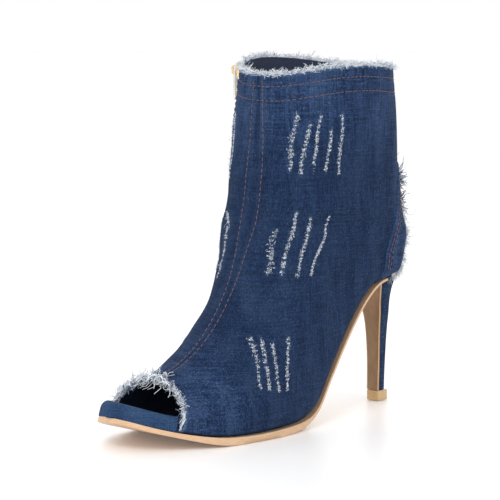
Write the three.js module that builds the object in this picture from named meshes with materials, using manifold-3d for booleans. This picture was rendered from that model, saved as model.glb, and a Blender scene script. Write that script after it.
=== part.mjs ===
// A left ankle boot in denim: open toe, stiletto heel, frayed edges and a zip on the inner side.
// Millimetres. +X runs to the toe, +Y to the outer side of the foot, +Z up, and the origin is the
// middle of the heel tip's ground face.
import * as THREE from "three";
import { mergeVertices } from "three/addons/utils/BufferGeometryUtils.js";
import Module from "manifold-3d";

const wasm = await Module();
wasm.setup();

// Driving dimensions
const footLength = 220; // rearmost point of the counter to the toe tip
const heelOffset = 6; // the counter's rearmost point lies this far behind the heel tip's middle
const heelHeight = 80; // floor to the seat line at the back
const shaftHeight = 123; // seat line to the collar edge
const ballWidth = 82;
const collarWidth = 72;
const wall = 2.2; // denim and lining together
const lasting = 3; // how far the upper turns in under the foot
const gap = 0.3; // between neighbouring pieces
const soleThickness = 3; // under the forefoot
const shankThickness = 1.5; // under the arch
const soleRim = 1.4; // how far the sole's edge cups up round the foot
const insoleThickness = 4.2;
const lipThickness = 9; // the footbed's wrapped rim in front of the toe opening
const treadEnd = 0.459; // the forefoot tread stops with a small step at this share of footLength
// The toe opening's cut plane: its place at the floor as a share of footLength, and how far it leans back
// for each unit of height
const toeOpening = { along: 0.909, lean: 0.38 };
const collarCrest = 3; // how far the collar's sides rise above the leg's nominal height
const collarDip = { front: 7, back: 5 }; // how much lower it is at the front and at the back
const collarRise = 2; // how much higher it is on the inner side
const heelTip = { length: 9, width: 8.6, height: 6.2 };
const breastThickness = 1.4;
// The heel's front face in the side view: share of the way from the tip to the seat, and place along the foot
const breastLine = [
  [0, 4.4], [0.238, 4.8], [0.456, 6.2], [0.592, 7.6], [0.701, 9.4], [0.81, 12.4], [0.891, 16.4], [0.959, 22],
  [1.054, 30],
];
// The zip's line crosses the level plane at shares of footLength and collarWidth, and low is a share of
// heelHeight
const zip = {
  along: 0.432, aside: -0.403, turn: -57, width: 10, low: 0.725, teeth: 4.6, depth: 1.1, proud: 0.3,
};
const slider = { length: 8.6, width: 8.2, height: 2.2, below: 4 };
const crown = { width: 2, reach: 2.8, rise: 2.2, strap: 1.1 };
const pull = { width: 7.4, length: 17, thickness: 1.3, frame: 1.6, bar: 0.7 };
const counterLift = 0.8; // thickness of the counter's extra layer
// The counter's front edge in the side view, from the back seam down to the feather line, as shares of
// footLength from the heel and of shaftHeight from the seat
const counterOutline = [
  [-0.06, 0.577], [0.009, 0.577], [0.055, 0.537], [0.086, 0.431], [0.102, 0.333], [0.136, 0.228],
  [0.164, 0.106], [0.173, -0.008], [-0.06, -0.008],
];
const fringe = { height: 3.6, toe: 1.7, back: 3.4 }; // how far the frayed threads stand out

// Sections of the boot form, from the toe tip round the heel and up to the collar. Each section is a plane
// through a point on the underside or back (along, rise, up) and one on the instep or front (front...). along
// and frontAlong are shares of footLength from the heel, rise and frontRise of heelHeight, up and frontUp of
// shaftHeight. aside moves the section's middle to the outer side, outer and inner are half widths from
// there, all three as shares of ballWidth, and leg is one more share of collarWidth for both halves. mid is
// the height of the widest point as a share of the section, under and over are how square its halves are.
const columns = "along rise up frontAlong frontRise frontUp aside outer inner leg mid under over".split(" ");
const sections = [
  [1.0, 0.208, 0, 1.003, 0.23, 0.02, -0.11, 0.03, 0.03, 0, 0.3, 4, 2],
  [0.986, 0.193, 0, 0.991, 0.213, 0.07, -0.11, 0.145, 0.14, 0, 0.26, 4.5, 1.9],
  [0.94, 0.145, 0, 0.944, 0.162, 0.14, -0.105, 0.285, 0.26, 0, 0.22, 5, 1.8],
  [0.868, 0.09, 0, 0.858, 0.105, 0.21, -0.085, 0.38, 0.36, 0, 0.2, 5, 1.8],
  [0.79, 0.05, 0, 0.782, 0.08, 0.272, -0.06, 0.445, 0.42, 0, 0.2, 5, 1.85],
  [0.7, 0.035, 0, 0.716, 0.1, 0.348, -0.03, 0.465, 0.455, 0, 0.24, 5, 1.9],
  [0.6, 0.038, 0, 0.665, 0.18, 0.41, 0, 0.465, 0.44, 0, 0.28, 5, 2],
  [0.5, 0.057, 0, 0.622, 0.3, 0.45, 0.005, 0.45, 0.415, 0, 0.31, 5, 2.1],
  [0.436, 0.13, 0, 0.6, 0.4, 0.468, 0.01, 0.425, 0.41, 0, 0.33, 5, 2.3],
  [0.382, 0.32, 0, 0.584, 0.5, 0.47, 0.01, 0.41, 0.41, 0, 0.36, 5, 2.5],
  [0.327, 0.522, 0, 0.571, 0.6, 0.464, 0.01, 0.4, 0.42, 0, 0.39, 5, 2.75],
  [0.27, 0.71, 0, 0.56, 0.7, 0.447, 0.01, 0.39, 0.435, 0, 0.42, 5, 2.95],
  [0.218, 0.856, 0, 0.552, 0.8, 0.423, 0.012, 0.385, 0.446, 0, 0.45, 5, 3.1],
  [0.164, 0.952, 0, 0.547, 0.88, 0.416, 0.014, 0.385, 0.452, 0, 0.47, 4.8, 3.15],
  [0.095, 0.986, 0, 0.541, 0.94, 0.421, 0.016, 0.375, 0.454, 0, 0.48, 4.2, 3.15],
  [0.034, 1.0, 0.0, 0.536, 1.0, 0.435, 0.014, 0.37, 0.45, 0, 0.48, 3.1, 3.15],
  [0.007, 1.0, 0.08, 0.531, 1.0, 0.488, 0.012, 0.302, 0.39, 0.09, 0.48, 2.7, 3.1],
  [0.0, 1.0, 0.17, 0.526, 1.0, 0.545, 0.01, 0.23, 0.32, 0.18, 0.48, 2.7, 3.05],
  [0.007, 1.0, 0.254, 0.521, 1.0, 0.602, 0.006, 0.16, 0.247, 0.26, 0.49, 2.5, 2.95],
  [0.02, 1.0, 0.37, 0.517, 1.0, 0.667, 0.004, 0.1, 0.18, 0.34, 0.5, 2.4, 2.8],
  [0.029, 1.0, 0.595, 0.514, 1.0, 0.764, 0.0, 0.04, 0.105, 0.43, 0.5, 2.3, 2.6],
  [0.037, 1.0, 0.785, 0.513, 1.0, 0.862, 0.0, 0.01, 0.045, 0.48, 0.5, 2.2, 2.4],
  [0.048, 1.0, 1.0, 0.512, 1.0, 1.0, 0.0, 0.0, 0.01, 0.5, 0.5, 2.1, 2.2],
].map((row) => Object.fromEntries(columns.map((name, i) => [name, row[i]])));
const lastRow = sections.length - 1;
const seatRow = 15; // the seat's rear edge, where the underside turns up into the back

// A smooth curve through three columns of the table, by row
function track(pick) {
  const points = sections.map((row) => new THREE.Vector3(...pick(row)));
  return new THREE.CatmullRomCurve3(points, false, "catmullrom", 0.5);
}
const toX = (share) => share * footLength - heelOffset;
const backTrack = track((r) => [toX(r.along), r.aside * ballWidth, r.rise * heelHeight + r.up * shaftHeight]);
const frontTrack = track((r) => {
  return [toX(r.frontAlong), r.aside * ballWidth, r.frontRise * heelHeight + r.frontUp * shaftHeight];
});
const widthTrack = track((r) => {
  return [r.outer * ballWidth + r.leg * collarWidth, r.inner * ballWidth + r.leg * collarWidth, r.mid];
});
const shapeTrack = track((r) => [r.under, r.over, 0]);

// A point of the form at station t, 0 at the toe and 1 at the collar, and angle a: -90 degrees is the
// underside or back, 0 the outer side, 90 the instep or front
function formPoint(t, a) {
  const back = backTrack.getPoint(t);
  const front = frontTrack.getPoint(t);
  const width = widthTrack.getPoint(t);
  const shape = shapeTrack.getPoint(t);
  const across = Math.cos(a);
  const upward = Math.sin(a);
  const power = 2 / (upward < 0 ? shape.x : shape.y);
  const half = across > 0 ? width.x : width.y;
  const y = Math.sign(across) * half * Math.abs(across) ** power;
  const reach = upward < 0 ? width.z : 1 - width.z;
  const share = width.z + Math.sign(upward) * reach * Math.abs(upward) ** power;
  const point = back.clone().lerp(front, share);
  return point.setY(back.y + y);
}

// The same point moved outwards by grow, along the surface's normal
function grownPoint(t, a, grow) {
  const here = formPoint(t, a);
  if (!grow) return here;
  const step = 4e-3;
  const along = formPoint(Math.min(t + step, 1), a).sub(formPoint(Math.max(t - step, 0), a));
  const round = formPoint(t, a + step * 5).sub(formPoint(t, a - step * 5));
  return here.addScaledVector(along.cross(round).normalize(), grow);
}

function manifoldOf(points, faces) {
  const geometry = new THREE.BufferGeometry().setFromPoints(points).setIndex(faces);
  return solidFrom(geometry);
}

function solidFrom(geometry) {
  const bare = new THREE.BufferGeometry();
  bare.setAttribute("position", geometry.attributes.position);
  if (geometry.index) bare.setIndex(geometry.index);
  const merged = mergeVertices(bare, 1e-3);
  const vertProperties = new Float32Array(merged.attributes.position.array);
  const triVerts = [];
  const index = merged.index.array;
  for (let i = 0; i < index.length; i += 3) {
    const [a, b, c] = [index[i], index[i + 1], index[i + 2]];
    if (a !== b && b !== c && a !== c) triVerts.push(a, b, c);
  }
  const make = (tris) => {
    return new wasm.Manifold(new wasm.Mesh({ numProp: 3, vertProperties, triVerts: new Uint32Array(tris) }));
  };
  const made = make(triVerts);
  if (made.volume() > 0) return made;
  return make(triVerts.toReversed());
}

// A closed solid from rings of points, each end closed by a fan
function solidOf(rings) {
  const count = rings[0].length;
  const points = rings.flat();
  const faces = [];
  for (let i = 0; i < rings.length - 1; i++) {
    for (let j = 0; j < count; j++) {
      const a = i * count + j;
      const b = i * count + ((j + 1) % count);
      faces.push(a, b, a + count, b, b + count, a + count);
    }
  }
  [rings[0], rings.at(-1)].forEach((ring, k) => {
    points.push(ring.reduce((sum, p) => sum.add(p), new THREE.Vector3()).divideScalar(count));
    const first = k * (rings.length - 1) * count;
    for (let j = 0; j < count; j++) {
      const here = first + j;
      const next = first + ((j + 1) % count);
      faces.push(...(k ? [here, next, points.length - 1] : [next, here, points.length - 1]));
    }
  });
  return manifoldOf(points, faces);
}

const range = (count) => Array.from({ length: count }, (_, j) => j);
const angles = (count) => range(count).map((j) => -Math.PI / 2 + (2 * Math.PI * j) / count);

// The whole form grown by an offset, carried on above the collar by lift
function formSolid(grow, steps, around, lift = 0) {
  const rings = range(steps + 1).map((i) => angles(around).map((a) => grownPoint(i / steps, a, grow)));
  if (lift) rings.push(rings.at(-1).map((p) => p.clone().setZ(p.z + lift)));
  return solidOf(rings);
}

// A layer along the underside from station row a to row b. Its edge follows the form's feather line, moved
// out by spread, and it reaches from low to high above the underside. round is the radius of its upper
// edges, and nose carries its first end forwards.
const featherHeight = 3.5;
function featherReach(t) {
  const width = widthTrack.getPoint(t);
  const { x: under } = shapeTrack.getPoint(t);
  const reach = width.z * backTrack.getPoint(t).distanceTo(frontTrack.getPoint(t));
  const share = (1 - Math.max(0, 1 - featherHeight / reach) ** under) ** (1 / under);
  return [width.x * share, width.y * share];
}
function layer(rowA, rowB, spread, low, high, round = 0.4, steps = 28, nose = 0) {
  const rings = range(steps + 1).map((i) => {
    const t = (rowA + ((rowB - rowA) * i) / steps) / lastRow;
    const here = backTrack.getPoint(t);
    const along = backTrack.getTangent(t).setY(0);
    const upward = new THREE.Vector3(0, 1, 0).cross(along).normalize();
    const thickness = (value) => (typeof value === "function" ? value(here.x) : value);
    const [bottom, top] = [thickness(low), thickness(high)];
    const [outer, inner] = featherReach(t).map((reach) => Math.max(0.5, reach + spread));
    const bevel = Math.min(round, outer * 0.5, inner * 0.5);
    const outline = [
      [-inner, bottom], [0, bottom], [outer, bottom], [outer, top - bevel],
      [outer - bevel * 0.3, top - bevel * 0.3], [outer - bevel, top], [0, top],
      [bevel - inner, top], [bevel * 0.3 - inner, top - bevel * 0.3], [-inner, top - bevel],
    ];
    return outline.map(([y, up]) => here.clone().addScaledVector(upward, up).setY(here.y + y));
  });
  rings[0].forEach((p) => p.setX(p.x + nose));
  return solidOf(rings);
}

// A box between two corners
function block(low, high) {
  const size = high.map((v, i) => v - low[i]);
  const box = new THREE.BoxGeometry(...size);
  return solidFrom(box.translate(...low.map((v, i) => v + size[i] / 2)));
}

// A prism across the boot, from an outline in the side view
function sidePrism(outline, halfWidth) {
  const shape = new THREE.Shape(outline.map(([x, z]) => new THREE.Vector2(x, z)));
  const made = new THREE.ExtrudeGeometry(shape, { depth: 2 * halfWidth, bevelEnabled: false });
  return solidFrom(made.translate(0, 0, -halfWidth).rotateX(Math.PI / 2));
}

const boot = new THREE.Group();
function add(name, made, color, roughness = 0.8, metalness = 0) {
  const { vertProperties, triVerts } = made.getMesh();
  const geometry = new THREE.BufferGeometry();
  geometry.setAttribute("position", new THREE.BufferAttribute(new Float32Array(vertProperties), 3));
  geometry.setIndex(new THREE.BufferAttribute(new Uint32Array(triVerts), 1));
  const mesh = new THREE.Mesh(geometry, new THREE.MeshStandardMaterial({ color, roughness, metalness }));
  mesh.name = name;
  boot.add(mesh);
}

// Forms shared by the pieces
const bootTop = heelHeight + shaftHeight + 40;
const steps = 44;
const around = 28;
const outside = formSolid(0, steps, around, 12);
const inside = formSolid(-wall, steps, around, 14);
const clearance = formSolid(gap, steps, around, 12);

// Upper: one hollow shell, open at the collar, at the toe and under the foot
const openAt = (z, ahead = 0) => toX(toeOpening.along) - toeOpening.lean * z + ahead;
const openingCut = (ahead) => {
  const outline = [[openAt(-20, ahead), -20], [openAt(90, ahead), 90], [400, 90], [400, -20]];
  return sidePrism(outline, 90);
};
const collarEdge = (x, y) => {
  const front = Math.max(0, (x - toX(0.3)) / (toX(0.512) - toX(0.3)));
  const back = Math.max(0, (toX(0.3) - x) / (toX(0.3) - toX(0.048)));
  const dip = collarDip.front * front ** 2 + collarDip.back * back ** 2;
  return heelHeight + shaftHeight + collarCrest - dip - (collarRise * y) / (collarWidth / 2);
};
function collarCut() {
  const count = 12;
  const spots = range(count + 1).flatMap((i) => range(count + 1).map((j) => [-30 + 14 * i, -66 + 11 * j]));
  const points = spots.map(([x, y]) => new THREE.Vector3(x, y, collarEdge(x, y)));
  const above = spots.map(([x, y]) => new THREE.Vector3(x, y, bootTop));
  const faces = [];
  const at = (i, j, top) => top * spots.length + i * (count + 1) + j;
  const quad = (a, b, c, d) => faces.push(a, b, c, a, c, d);
  for (let i = 0; i < count; i++) {
    for (let j = 0; j < count; j++) {
      quad(at(i, j, 0), at(i, j + 1, 0), at(i + 1, j + 1, 0), at(i + 1, j, 0));
      quad(at(i, j, 1), at(i + 1, j, 1), at(i + 1, j + 1, 1), at(i, j + 1, 1));
    }
    quad(at(i, 0, 0), at(i + 1, 0, 0), at(i + 1, 0, 1), at(i, 0, 1));
    quad(at(i + 1, count, 0), at(i, count, 0), at(i, count, 1), at(i + 1, count, 1));
    quad(at(0, i + 1, 0), at(0, i, 0), at(0, i, 1), at(0, i + 1, 1));
    quad(at(count, i, 0), at(count, i + 1, 0), at(count, i + 1, 1), at(count, i, 1));
  }
  return manifoldOf([...points, ...above], faces);
}
// A straight slot or strip along the zip, as wide and deep as asked
const zipTurn = (zip.turn * Math.PI) / 180;
const zipAt = { x: toX(zip.along), y: zip.aside * collarWidth, low: zip.low * heelHeight };
const zipSpot = new THREE.Matrix4().makeRotationZ(zipTurn + Math.PI / 2).setPosition(zipAt.x, zipAt.y, 0);
function zipStrip(width, low, high) {
  const made = new THREE.BoxGeometry(width, 60, high - low).translate(0, 0, (high + low) / 2);
  return solidFrom(made.applyMatrix4(zipSpot));
}
const underCore = layer(0, seatRow, -lasting, -6, insoleThickness + gap);
const shell = outside.subtract(inside).subtract(underCore).subtract(collarCut());
const upper = shell.subtract(openingCut(0)).subtract(zipStrip(zip.width, zipAt.low, bootTop));
add("upper", upper, 0x22345a);

// Outsole: a thin sheet from the toe to the heel breast, with a thicker forefoot tread flat on the floor
const seatX = toX(0.125);
const soleEndRow = seatRow - 1.4;
const soleDepth = (x) => {
  const share = THREE.MathUtils.smoothstep(x, toX(treadEnd - 0.055), toX(treadEnd + 0.1));
  return -gap - THREE.MathUtils.lerp(shankThickness, soleThickness, share);
};
const soleSheet = layer(0, soleEndRow, 0.5, soleDepth, soleRim, 0.3, 28, 0.9);
const treadZone = block([toX(treadEnd), -60, 0], [toX(0.62), 60, 12]);
const tread = layer(2, 9, -3, -14, -gap, 0.3, 16).intersect(treadZone);
const floorCut = block([-100, -100, -30], [300, 100, 0]);
const bedReach = block([-10, -60, -10], [toX(0.94), 60, bootTop]);
const bedSeat = layer(0, seatRow, -lasting, -gap, 12).intersect(bedReach);
add("outsole", soleSheet.add(tread).subtract(clearance.add(bedSeat)).subtract(floorCut), 0xd9b48a, 0.6);

// Insole: it fills the floor of the shell and shows as a rounded lip in front of the toe opening
const bedFull = layer(0, seatRow, -lasting - gap - 0.15, 0.2, insoleThickness, 0.3);
const heelEnd = block([toX(0.042), -60, -10], [300, 60, bootTop]);
const bedEnd = block([-10, -60, -10], [toX(toeOpening.along + 0.011), 60, bootTop]);
const bed = bedFull.intersect(heelEnd).intersect(bedEnd);
const lip = layer(0, 6, 0, -2, lipThickness, 5, 18).intersect(outside).intersect(openingCut(gap));
add("insole", bed.add(lip), 0x2c4f80);

// Heel: level sections from the seat to the tip. Each has its share of the height above the tip, its back,
// how far its two sides stand out, and a middle line that bends a little to the outer side
const heelSections = [
  { share: 1.082, back: 1.5, side: 25, middle: 1 },
  { share: 1, back: 0.6, side: 23.2, middle: 1 },
  { share: 0.946, back: -0.8, side: 18.8, middle: 1.2 },
  { share: 0.891, back: -2.4, side: 14.8, middle: 1.5 },
  { share: 0.823, back: -3.7, side: 11.2, middle: 1.8 },
  { share: 0.741, back: -4.7, side: 8.4, middle: 2 },
  { share: 0.646, back: -5.2, side: 6.7, middle: 2 },
  { share: 0.51, back: -5.3, side: 5.4, middle: 1.4 },
  { share: 0.32, back: -5.1, side: 4.7, middle: 0.7 },
  { share: 0.129, back: -4.9, side: 4.4, middle: 0.2 },
  { share: 0, back: -4.8, side: 4.3, middle: 0 },
];
const heelAt = (share) => THREE.MathUtils.lerp(heelTip.height + gap, heelHeight, share);
const breastAt = (share) => {
  const i = Math.max(1, breastLine.findIndex(([height]) => height >= share));
  const [[z0, x0], [z1, x1]] = [breastLine[i - 1], breastLine[Math.min(i, breastLine.length - 1)]];
  return THREE.MathUtils.mapLinear(share, z0, z1, x0, x1);
};
function heelRing({ share, back, side, middle }) {
  const front = breastAt(Math.min(share, breastLine.at(-1)[0]));
  const straight = Math.min(side * 0.5, (front - back) * 0.5);
  const turn = front - straight;
  const count = 9;
  const round = range(count).map((i) => {
    const a = (Math.PI * i) / (count - 1);
    return new THREE.Vector3(turn - (turn - back) * Math.sin(a), middle + side * Math.cos(a), heelAt(share));
  });
  const corner = (sign) => new THREE.Vector3(front, middle + sign * side * 0.96, heelAt(share));
  return [corner(1), ...round, corner(-1)];
}
const heelForm = solidOf(heelSections.map(heelRing));
const breastOutline = (back, ahead) => {
  const low = heelTip.height + gap;
  const line = breastLine.map(([share, x]) => [x - back, heelAt(share)]);
  return sidePrism([...line, [breastLine.at(-1)[1] + ahead, bootTop], [200, bootTop], [200, low - 20],
    [breastLine[0][1] - back, low - 20]], 60);
};
const aboveSole = layer(seatRow - 4.5, seatRow + 0.6, 12, -shankThickness - gap * 2, 60, 0.3, 16);
const aboveSeat = clearance.add(layer(seatRow - 4.5, seatRow + 0.6, 12, -gap, 60, 0.3, 16));
const soleSide = aboveSole.intersect(block([seatX - 2, -60, 40], [200, 60, bootTop]));
const heelBack = heelForm.subtract(aboveSeat).subtract(breastOutline(breastThickness + gap, 0));
add("heel", heelBack.subtract(soleSide), 0x22345a);
add("heel_breast", heelForm.intersect(breastOutline(breastThickness, 0)).subtract(aboveSole), 0x8a6a42, 0.6);
const tipLow = [-heelTip.length / 2, -heelTip.width / 2, 0];
add("top_piece", block(tipLow, [heelTip.length / 2, heelTip.width / 2, heelTip.height]), 0xb98f52, 0.4, 0.5);

// Counter: an extra layer of denim round the back of the foot
const counterFace = formSolid(gap + counterLift, steps, around, 12);
const counterLine = counterOutline.map(([along, up]) => [toX(along), heelHeight + up * shaftHeight]);
const counter = counterFace.subtract(clearance).intersect(sidePrism(counterLine, 60));
const counterFoot = layer(seatRow - 6, seatRow + 0.6, 14, -30, soleRim + 2 * gap, 0.3, 12);
add("counter", counter.subtract(counterFoot), 0x22345a);

// Zip: a tape in the slot, the coil on it, and a slider at the top
const zipFace = formSolid(-zip.depth, steps, around, 12);
const coilFace = formSolid(zip.proud, steps, around, 12);
const coilBack = formSolid(gap - zip.depth, steps, around, 12);
const slotStrip = zipStrip(zip.width - 2 * gap, zipAt.low + gap, bootTop);
add("zip_tape", zipFace.subtract(inside).intersect(slotStrip).subtract(collarCut()), 0x15192c, 0.9);
const pivotZ = collarEdge(zipAt.x, zipAt.y) - slider.below;
const coilTop = pivotZ - slider.length / 2 - gap;
const coilStrip = zipStrip(zip.teeth, zipAt.low + slider.below, coilTop);
add("zip_teeth", coilFace.subtract(coilBack).intersect(coilStrip), 0x1b2036, 0.5);

// The spot on the form's surface at the zip's middle, found by moving the station and the angle towards it
function zipSurface(z) {
  const across = new THREE.Vector3(1, 0, 0).transformDirection(zipSpot);
  let [t, a] = [0.97, (135 * Math.PI) / 180];
  const miss = (p) => [p.z - z, across.dot(p.clone().sub(new THREE.Vector3(zipAt.x, zipAt.y, 0)).setZ(0))];
  for (let i = 0; i < 12; i++) {
    const step = 1e-4;
    const here = miss(formPoint(t, a));
    const byT = miss(formPoint(t + step, a)).map((v, k) => (v - here[k]) / step);
    const byA = miss(formPoint(t, a + step)).map((v, k) => (v - here[k]) / step);
    const det = byT[0] * byA[1] - byA[0] * byT[1];
    t -= (here[0] * byA[1] - byA[0] * here[1]) / det;
    a -= (byT[0] * here[1] - byT[1] * here[0]) / det;
  }
  return formPoint(t, a);
}
const hardware = new THREE.Matrix4().makeRotationZ(zipTurn + Math.PI / 2).setPosition(zipSurface(pivotZ));
const placed = (geometry) => solidFrom(geometry.applyMatrix4(hardware));
const plate = (points, depth, holes = []) => {
  const shape = new THREE.Shape(points.map(([u, v]) => new THREE.Vector2(u, v)));
  shape.holes = holes.map((hole) => new THREE.Path(hole.map(([u, v]) => new THREE.Vector2(u, v))));
  return new THREE.ExtrudeGeometry(shape, { depth, bevelEnabled: false });
};
const rectangle = (halfWidth, low, high, cut = 0) => [
  [-halfWidth + cut, low], [halfWidth - cut, low], [halfWidth, low + cut], [halfWidth, high - cut],
  [halfWidth - cut, high], [cut - halfWidth, high], [-halfWidth, high - cut], [-halfWidth, low + cut],
];
const facing = (geometry, n) => geometry.rotateX(Math.PI / 2).translate(0, -n, 0);
const sliderBack = 2 * gap - zip.depth;
const bodyOutline = [
  [-slider.width * 0.34, -slider.length / 2], [slider.width * 0.34, -slider.length / 2],
  [slider.width / 2, -0.5],
  [slider.width / 2, slider.length * 0.3], [slider.width * 0.36, slider.length / 2], [0, slider.length * 0.4],
  [-slider.width * 0.36, slider.length / 2], [-slider.width / 2, slider.length * 0.3],
  [-slider.width / 2, -0.5],
];
const sliderBody = facing(plate(bodyOutline, slider.height - sliderBack), sliderBack);
const crownHole = rectangle(crown.reach - crown.strap, 0, crown.rise).map(([u, v]) => [u, v + slider.height]);
const crownOuter = [
  [-crown.reach - 0.6, slider.height - 0.6], [crown.reach + 0.6, slider.height - 0.6],
  [crown.reach, slider.height + crown.rise], [crown.reach - 0.9, slider.height + crown.rise + crown.strap],
  [0.9 - crown.reach, slider.height + crown.rise + crown.strap], [-crown.reach, slider.height + crown.rise],
];
const crownPlate = plate(crownOuter, crown.width, [crownHole.filter((_, i) => i % 2 === 0)]);
// The crown's outline runs up the zip and outwards, so its plate is stood on edge across the zip
const crownTurn = new THREE.Matrix4().makeBasis(
  new THREE.Vector3(0, 0, 1), new THREE.Vector3(0, -1, 0), new THREE.Vector3(1, 0, 0));
const crownSolid = crownPlate.applyMatrix4(crownTurn).translate(-crown.width / 2, 0, 0);
add("zip_slider", placed(sliderBody).add(placed(crownSolid)), 0xc9a961, 0.3, 1);

const windowHalf = pull.width / 2 - pull.frame;
const windows = [
  rectangle(windowHalf, -pull.length * 0.66, -pull.bar, 0.4),
  rectangle(windowHalf, -pull.length * 0.8, -pull.length * 0.73, 0.2),
];
const pullOutline = rectangle(pull.width / 2, -pull.length, pull.bar, 0.7);
const pullDepth = slider.height + crown.rise / 2 - pull.thickness / 2;
add("pull_tab", placed(facing(plate(pullOutline, pull.thickness, windows), pullDepth)), 0xcfd0d2, 0.25, 1);

// Frayed edges: rings and rolls whose height goes up and down from thread to thread
const uneven = (i) => 0.5 + 0.32 * Math.sin(i * 2.4) + 0.18 * Math.sin(i * 5.1 + 1);
function loopSolid(rings, closed) {
  if (!closed) return solidOf(rings);
  const count = rings[0].length;
  const faces = [];
  rings.forEach((_, i) => {
    const next = ((i + 1) % rings.length) * count;
    for (let j = 0; j < count; j++) {
      const [a, b] = [i * count + j, i * count + ((j + 1) % count)];
      const [c, d] = [next + j, next + ((j + 1) % count)];
      faces.push(a, b, c, b, d, c);
    }
  });
  return manifoldOf(rings.flat(), faces);
}
const collarRings = angles(46).map((a, i) => {
  const outer = grownPoint(1, a, 0.6);
  const inner = grownPoint(1, a, 0.3 - wall);
  const tip = fringe.height * (0.35 + 0.65 * uneven(i));
  const base = (p) => p.clone().setZ(collarEdge(p.x, p.y) + gap);
  const raised = (p) => p.clone().setZ(collarEdge(p.x, p.y) + gap + tip);
  const [outerTip, innerTip] = [outer.clone().lerp(inner, 0.2), inner.clone().lerp(outer, 0.2)];
  return [base(inner), base(outer), raised(outerTip), raised(innerTip)];
});
const sliderGap = zipStrip(zip.width + 2 * gap, zipAt.low, bootTop);
add("collar_fringe", loopSolid(collarRings, true).subtract(sliderGap), 0xdfe8f2, 0.95);

// The opening's edge at angle a, found on the form by halving the stations
function openingEdge(a) {
  let [low, high] = [0, 7 / lastRow];
  for (let i = 0; i < 30; i++) {
    const t = (low + high) / 2;
    const p = formPoint(t, a);
    if (p.x > openAt(p.z)) low = t;
    else high = t;
  }
  const middle = grownPoint((low + high) / 2, a, -wall / 2);
  return middle.setX(openAt(middle.z));
}
const toeCount = 28;
const toeFrom = (16 * Math.PI) / 180;
const toeTo = (166 * Math.PI) / 180;
const toePath = range(toeCount + 1).map((i) => openingEdge(toeFrom + ((toeTo - toeFrom) * i) / toeCount));
const toeRings = toePath.map((p, i) => {
  const before = toePath[Math.max(0, i - 1)];
  const after = toePath[Math.min(toeCount, i + 1)];
  const along = after.clone().sub(before).normalize();
  const ahead = new THREE.Vector3(1, 0, toeOpening.lean).normalize();
  const outward = new THREE.Vector3().crossVectors(along, ahead).normalize();
  const radius = fringe.toe * (0.6 + 0.4 * uneven(i * 1.3 + 2));
  const middle = p.clone().addScaledVector(ahead, fringe.toe + gap);
  return range(6).map((k) => {
    const turn = (2 * Math.PI * k) / 6;
    return middle.clone().addScaledVector(ahead, radius * Math.cos(turn))
      .addScaledVector(outward, radius * Math.sin(turn));
  });
});
add("toe_fringe", loopSolid(toeRings, false), 0xdfe8f2, 0.95);

// Loose threads at the raw edges on both sides of the counter's middle
const backRows = [seatRow + 0.4, 20];
const backTurn = (17 * Math.PI) / 180;
for (const [name, sign] of [["back_fringe_outer", 1], ["back_fringe_inner", -1]]) {
  const a = -Math.PI / 2 + sign * backTurn;
  const rings = range(21).map((i) => {
    const t = (backRows[0] + ((backRows[1] - backRows[0]) * i) / 20) / lastRow;
    const foot = grownPoint(t, a, 2 * gap + counterLift);
    const out = grownPoint(t, a, 2 * gap + counterLift + 1).sub(foot);
    const height = fringe.back * (0.3 + 0.7 * uneven(i + 4));
    const across = new THREE.Vector3(0, 0, 1).cross(out).normalize();
    const point = (side, up) => foot.clone().addScaledVector(across, side).addScaledVector(out, up);
    return [point(-1.4, 0), point(1.4, 0), point(0.7, height), point(-0.7, height)];
  });
  add(name, loopSolid(rings, false), 0xdfe8f2, 0.95);
}

export default boot;
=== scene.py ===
# The looks of a left denim ankle boot with an open toe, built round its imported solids.
# Sizes are in millimetres in the part's own frame and are turned into metres when a mesh is made.
import math

import bpy
import numpy as np
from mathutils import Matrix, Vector
from mathutils.bvhtree import BVHTree


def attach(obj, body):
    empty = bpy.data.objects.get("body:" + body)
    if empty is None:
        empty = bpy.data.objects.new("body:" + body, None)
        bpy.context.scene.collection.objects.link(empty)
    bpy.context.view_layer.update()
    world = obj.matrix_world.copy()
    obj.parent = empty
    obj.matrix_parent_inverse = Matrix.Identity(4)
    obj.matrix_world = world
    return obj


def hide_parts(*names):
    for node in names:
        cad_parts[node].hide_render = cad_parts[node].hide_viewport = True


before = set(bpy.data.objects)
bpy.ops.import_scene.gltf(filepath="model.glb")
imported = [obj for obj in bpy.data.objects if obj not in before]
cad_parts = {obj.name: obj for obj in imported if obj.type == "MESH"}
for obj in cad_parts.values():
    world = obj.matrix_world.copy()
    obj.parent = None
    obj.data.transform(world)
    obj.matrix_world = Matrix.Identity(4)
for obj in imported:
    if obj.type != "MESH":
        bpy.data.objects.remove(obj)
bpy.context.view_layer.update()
rng = np.random.default_rng(7)

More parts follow.
